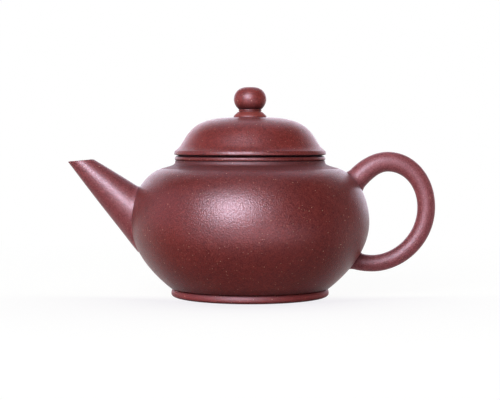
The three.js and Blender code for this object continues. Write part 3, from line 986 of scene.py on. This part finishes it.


# Clays, from their darkest tone to their lightest, what lies in and on them, and the colour of their
# painted shade
RED_CLAY = (tint(90, 23, 18), tint(144, 54, 46))
EVEN_CLAY = (tint(106, 32, 29), tint(130, 45, 40))
WARM_CLAY = (tint(108, 37, 29), tint(135, 53, 41))
# The handle's and spout's clays are paler and more lilac than the belly's, partly a painted sheen of
# gloss on the thin pieces.
GREY_CLAY_AND_PAINTED_SHEEN = (tint(104, 46, 49), tint(146, 77, 81))
PALE_CLAY_AND_PAINTED_SHEEN = (tint(104, 41, 43), tint(146, 71, 73))
SAND = tint(228, 172, 146)
IRON = tint(48, 20, 22)
# Painted shade: the colour that occlusion darkens the clay towards in creases, grooves and under
# overhangs.
PAINTED_SHADE = tint(40, 10, 12)
CLOUD_SIZE = 22 * MM
MOTTLE_SIZE = 1.4 * MM
GRAIN_SIZE = 0.42 * MM
SAND_SPACING = 1.0 * MM
SAND_SIZE = 0.37 * MM
IRON_SPACING = 1.2 * MM
IRON_SIZE = 0.42 * MM
SPECK_SHARE = 0.6
DIMPLE_SIZE = 1.2 * MM
DIMPLE_DEPTH = 0.035 * MM
GRIT_SIZE = 0.5 * MM
GRIT_DEPTH = 0.12 * MM
SATIN_SPECULAR = 0.27
SATIN_TINT = (0.94, 0.81, 1.0, 1)
SHEEN_WEIGHT = 0.035
SHEEN_ROUGHNESS = 0.4
SHEEN_TINT = tint(222, 200, 224)

# The same clay inside, where the tool left its rings
RING_SIZE = 1.3 * MM
RING_STRETCH = (0.06, 0.06, 1)
RING_DEPTH = 0.06 * MM
RAW_MOTTLE_SIZE = 0.7 * MM
RAW_SAND_SPACING = 1.3 * MM
RAW_SAND_SIZE = 0.34 * MM
RAW_SAND_SHARE = 0.45
RAW_SPECULAR = 0.3
TOOTH_SIZE = 0.35 * MM
TOOTH_DEPTH = 0.03 * MM


def burnished_clay(name, tones, tone_and_painted_light, satin, crease_shade=(1.5 * MM, 0.2, 0.3), relief=1.0):
    """Outside of the pot: fine clay rubbed to a soft satin, with sand in its skin and painted shade in
    its creases.

    Satin is the roughness, from the smoothest grain to the roughest. Crease shade is painted shade from
    occlusion: how far it reaches, how enclosed it is at its darkest, and how much clear clay shows
    through it there.
    """
    clay = Finish(name)
    cloud = clay.spread(clay.noise(CLOUD_SIZE, 2), 0.3, 0.7)
    mottle = clay.spread(clay.noise(MOTTLE_SIZE, 3, 0.6), 0.3, 0.7)
    grain = clay.spread(clay.noise(GRAIN_SIZE, 1, 0.6), 0.35, 0.65)
    tone = clay.plus(clay.times(cloud, 0.2), clay.times(mottle, 0.35))
    tone = clay.plus(tone, clay.times(grain, 0.6))
    # Painted light: the share lifts or lowers the whole clay, partly its own tone and partly light,
    # giving lit and shaded copies of one clay.
    dark, light = (shaded(colour, tone_and_painted_light) for colour in tones)
    colour = clay.mix(clay.spread(tone, 0.1, 1.05), dark, light)
    sand = clay.specks(SAND_SPACING, SAND_SIZE, SPECK_SHARE)
    iron = clay.specks(IRON_SPACING, IRON_SIZE, SPECK_SHARE)
    colour = clay.mix(clay.times(sand, 0.9), colour, SAND)
    colour = clay.mix(clay.times(iron, 0.95), colour, IRON)
    # Painted shade: occlusion darkens the clay towards the shade colour in creases, grooves and under
    # overhangs.
    colour = clay.mix(clay.occlusion_shade(*crease_shade), PAINTED_SHADE, colour)
    clay.feed(clay.shader.inputs["Base Color"], colour)
    clay.feed(clay.shader.inputs["Roughness"], clay.spread(grain, 0, 1, *satin))
    clay.shader.inputs["Specular IOR Level"].default_value = SATIN_SPECULAR
    clay.shader.inputs["Specular Tint"].default_value = SATIN_TINT
    clay.shader.inputs["Sheen Weight"].default_value = SHEEN_WEIGHT
    clay.shader.inputs["Sheen Roughness"].default_value = SHEEN_ROUGHNESS
    clay.shader.inputs["Sheen Tint"].default_value = SHEEN_TINT
    clay.bump(clay.noise(DIMPLE_SIZE, 2, 0.5), DIMPLE_DEPTH * relief)
    clay.bump(clay.noise(GRIT_SIZE, 1, 0.6), GRIT_DEPTH * relief)
    return clay.material


def raw_clay():
    """Inside of the pot: the same clay, wiped but not rubbed, with the marks of the turning."""
    clay = Finish("raw clay")
    rings = clay.noise(RING_SIZE, 2, 0.5, stretch=RING_STRETCH)
    mottle = clay.spread(clay.noise(RAW_MOTTLE_SIZE, 3, 0.6), 0.3, 0.7)
    tone = clay.plus(clay.times(rings, 0.4), clay.times(mottle, 0.6))
    colour = clay.mix(clay.spread(tone, 0.2, 0.8), *RED_CLAY)
    sand = clay.specks(RAW_SAND_SPACING, RAW_SAND_SIZE, RAW_SAND_SHARE)
    colour = clay.mix(clay.times(sand, 0.7), colour, SAND)
    clay.feed(clay.shader.inputs["Base Color"], colour)
    clay.feed(clay.shader.inputs["Roughness"], clay.spread(mottle, 0, 1, 0.62, 0.75))
    clay.shader.inputs["Specular IOR Level"].default_value = RAW_SPECULAR
    clay.bump(rings, RING_DEPTH, 0.7)
    clay.bump(clay.noise(TOOTH_SIZE, 3, 0.65), TOOTH_DEPTH, 0.7)
    return clay.material


# Studio
AMBIENT = 0.085
ROOM = 0.15
WHITE = (1, 1, 1, 1)
LILAC = (1.0, 0.92, 1.14)
BACKDROP_EDGE = 0.55
BACKDROP_FULL = 0.9
TABLE_RADIUS = 6
TABLE_WHITE = (0.62, 0.62, 0.62, 1)
SHADOW_WHITE = (0.1, 0.1, 0.095, 1)
SHADOW_GLOW = 0.945
SHADOW_REACH = 0.3
# Painted shadow on the floor's glow in front of the pot: how far occlusion reaches and the colour at its
# darkest.
CONTACT_REACH = 0.1
CONTACT_SHADE = (0.8, 0.775, 0.83, 1)
DIM_FRONT = -0.025
WHITE_BACK = 0.01
TABLE_GLOW_PLACE = (-0.02, -0.2, 0.0005)
TABLE_GLOW_SIZE = (0.3, 0.2)
TABLE_GLOW_WATTS = 1.3


def white_table():
    """A white floor that shows as plain white, keeps the pot's soft shadow from the lamps, and has a
    soft shadow painted into its glow in front of the pot.
    """
    bpy.ops.object.select_all(action="DESELECT")
    bpy.ops.mesh.primitive_circle_add(
        vertices=128,
        radius=TABLE_RADIUS,
        fill_type="NGON",
        location=(0, 0, 0),
    )
    table = bpy.context.object
    table.name = "table"
    white = Finish("table white")
    white.nodes.remove(white.shader)
    away = white.nodes.new("ShaderNodeVectorMath")
    away.operation = "LENGTH"
    white.feed(away.inputs[0], white.place)
    back = white.distance_back(white.place)
    # Painted shadow: occlusion darkens the floor's glow towards the shade colour, in front of the pot
    # only.
    under = white.nodes.new("ShaderNodeAmbientOcclusion")
    white.feed(under.inputs["Distance"], CONTACT_REACH)
    open_table = white.larger(under.outputs["AO"], white.spread(back, -FOOT_RADIUS, 0))
    contact = white.mix(open_table, CONTACT_SHADE, WHITE)
    near = white.layered(
        "ShaderNodeAddShader",
        white.surface("ShaderNodeBsdfDiffuse", SHADOW_WHITE),
        white.surface("ShaderNodeEmission", contact, SHADOW_GLOW),
    )
    far = white.surface("ShaderNodeEmission", WHITE, 1)
    fade = white.spread(away.outputs["Value"], SHADOW_REACH / 2, SHADOW_REACH)
    shown = white.layered("ShaderNodeMixShader", fade, near, far)
    lit = white.surface("ShaderNodeBsdfDiffuse", TABLE_WHITE)
    seen = white.seen_directly(white.spread(back, DIM_FRONT, WHITE_BACK))
    skin = white.layered("ShaderNodeMixShader", seen, lit, shown)
    white.feed(white.nodes["Material Output"].inputs["Surface"], skin)
    table.data.materials.append(white.material)


def white_world():
    """White to the eye. In the clay's gloss the backdrop behind the pot is white and the room is dim."""
    world = bpy.data.worlds.new("studio")
    bpy.context.scene.world = world
    world.use_nodes = True
    air = Wiring(world.node_tree)
    background = air.nodes["Background"]
    air.feed(background.inputs["Color"], WHITE)
    place = air.nodes.new("ShaderNodeTexCoord").outputs["Generated"]
    behind = air.spread(air.distance_back(place), BACKDROP_EDGE, BACKDROP_FULL, ROOM)
    path = air.nodes.new("ShaderNodeLightPath").outputs
    white = air.larger(path["Is Camera Ray"], behind)
    air.feed(background.inputs["Strength"], air.spread(air.seen_directly(), 0, 1, AMBIENT, white))


def softbox(name, azimuth, elevation, size, watts, gives, colour=(1, 1, 1), distance=1.0):
    """A square lamp aimed at the pot, for light or for gloss.

    Azimuth 0 is the camera's side and 90 the spout's.
    """
    aim = Vector((0, 0, (FOOT_TOP + KNOB_TOP) / 2))
    turn, lift = math.radians(azimuth), math.radians(elevation)
    out = math.cos(lift)
    way = Vector((-math.sin(turn) * out, -math.cos(turn) * out, math.sin(lift)))
    bpy.ops.object.light_add(
        type="AREA",
        location=aim + way * distance,
        rotation=way.to_track_quat("Z", "Y").to_euler(),
    )
    lamp = bpy.context.object
    lamp.name = name
    lamp.data.shape = "RECTANGLE"
    lamp.data.size, lamp.data.size_y = size
    lamp.data.energy = watts
    lamp.data.color = colour
    lamp.visible_camera = False
    lamp.visible_glossy = gives == "gloss"
    lamp.visible_diffuse = gives == "light"


def table_glow():
    """The bright patch of the table in front, which the clay's gloss mirrors from below."""
    bpy.ops.object.light_add(type="AREA", location=TABLE_GLOW_PLACE, rotation=(math.pi, 0, 0))
    patch = bpy.context.object
    patch.name = "table glow"
    patch.data.shape = "RECTANGLE"
    patch.data.size, patch.data.size_y = TABLE_GLOW_SIZE
    patch.data.energy = TABLE_GLOW_WATTS
    patch.visible_camera = False
    patch.visible_diffuse = False


def camera():
    """Stands where the photograph was taken from, tipped until the horizon falls on its row."""
    pitch = math.atan((PHOTO_HEIGHT / 2 - HORIZON_ROW) / FOCAL_PIXELS)
    bpy.ops.object.camera_add(location=CAMERA_PLACE, rotation=(math.pi / 2 - pitch, 0, 0))
    eye = bpy.context.object
    eye.data.sensor_width = SENSOR_WIDTH
    eye.data.lens = FOCAL_PIXELS / PHOTO_WIDTH * SENSOR_WIDTH
    eye.data.clip_start = 0.01
    eye.data.clip_end = 50
    bpy.context.scene.camera = eye


def studio():
    """Camera, table and air, then each lamp with its azimuth, elevation, size and watts."""
    camera()
    white_table()
    white_world()
    softbox("key", 24, 25, (0.8, 0.8), 8.3, gives="light")
    softbox("left fill", 125, 2, (0.8, 0.3), 4.2, gives="light")
    softbox("right fill", -115, 12, (0.8, 0.8), 5.6, gives="light")
    softbox("glow", 18.5, 26, (0.53, 0.42), 46, gives="gloss")
    softbox("halo", 6, 13, (1.2, 0.5), 5.5, gives="gloss")
    softbox("sky glow", 10, 66, (0.5, 0.5), 3.2, gives="gloss")
    softbox("window", 90, 15, (0.9, 0.8), 3, gives="gloss", colour=LILAC)
    softbox("backdrop", 180, 15, (2.6, 1.0), 17, gives="gloss", colour=LILAC, distance=1.6)
    softbox("backdrop top", 180, 58, (0.9, 0.5), 2.2, gives="gloss", colour=LILAC)
    table_glow()


def dress(piece, body, node, finish, inner_finish=None, is_inner=None):
    """Gives a piece its clay and its body, and hides the CAD node that it stands for."""
    piece.data.materials.clear()
    piece.data.materials.append(finish)
    if inner_finish:
        piece.data.materials.append(inner_finish)
        for face in piece.data.polygons:
            face.material_index = int(is_inner(face))
    shade(piece)
    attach(piece, body)
    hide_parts(node)


def faces_axis(face):
    """Tells the belly's inner wall from its outside."""
    return face.normal.x * face.center.x + face.normal.y * face.center.y < -0.1 * MM


def faces_down(face):
    """Tells the hollow under the lid from its top."""
    return face.normal.z < -0.1


def teapot():
    """Every piece of clay, each in the finish of its own place on the pot."""
    # The last tuple of a clay is its painted shade from occlusion; the long reaches darken the belly by
    # the foot and the roots, the neck under the mouth bead and the underside of the ball.
    # The share after the tones is partly the clay's own tone and partly painted light: the neck is
    # darkened for the shade under the mouth bead, and the lid, rim, knob, foot, spout and handle are
    # lightened where the lamps light them more.
    belly_clay = burnished_clay("belly clay", RED_CLAY, 0.88, (0.31, 0.45), (6 * MM, 0.35, 0.4))
    neck_clay = burnished_clay("neck clay", RED_CLAY, 0.84, (0.5, 0.62), (4 * MM, 0.45, 0))
    foot_clay = burnished_clay("foot clay", EVEN_CLAY, 1.28, (0.51, 0.61), (2.5 * MM, 0.2, 0.35), 0.4)
    lid_clay = burnished_clay("lid clay", RED_CLAY, 1.13, (0.31, 0.45))
    rim_clay = burnished_clay("rim clay", RED_CLAY, 1.05, (0.34, 0.47), (2.5 * MM, 0.42, 0))
    collar_clay = burnished_clay("collar clay", WARM_CLAY, 1.4, (0.5, 0.6), (1.2 * MM, 0.35, 0.1), 0.4)
    ball_clay = burnished_clay("ball clay", RED_CLAY, 1.26, (0.38, 0.5), (6 * MM, 0.43, 0), 0.4)
    spout_clay = burnished_clay("spout clay", PALE_CLAY_AND_PAINTED_SHEEN, 1.12, (0.36, 0.5), (2 * MM, 0.2, 0.4), 0.4)
    handle_clay = burnished_clay("handle clay", GREY_CLAY_AND_PAINTED_SHEEN, 1.38, (0.4, 0.54), (2.5 * MM, 0.35, 0.1))
    inside = raw_clay()
    core = belly_core(SKIN_OVERLAP)
    spout = pot_spout(core)
    handle = pot_handle(core)
    remove(core)
    belly = pot_belly()
    pierce_wall(belly)
    dress(spout, "pot", "spout", spout_clay)
    dress(handle, "pot", "handle", handle_clay)
    dress(belly, "pot", "belly_shell", belly_clay, inside, faces_axis)
    dress(pot_foot(), "pot", "foot_ring", foot_clay)
    dress(pot_base(), "pot", "base_disc", inside)
    dress(pot_neck(), "pot", "neck_ring", neck_clay)
    dress(pot_mouth(), "pot", "mouth_bead", rim_clay)
    dress(pot_strainer(), "pot", "strainer_dome", inside)
    dress(lid_plate(), "lid", "lid_dome", lid_clay, inside, faces_down)
    dress(lid_edge(), "lid", "lid_rim", rim_clay)
    dress(lid_seat(), "lid", "lid_flange", inside)
    dress(knob_flare(), "lid", "knob_foot", collar_clay)
    dress(knob_band(), "lid", "knob_collar", collar_clay)
    dress(knob_ball(), "lid", "knob_ball", ball_clay)


studio()
teapot()

bpy.context.scene.view_settings.view_transform = "Standard"
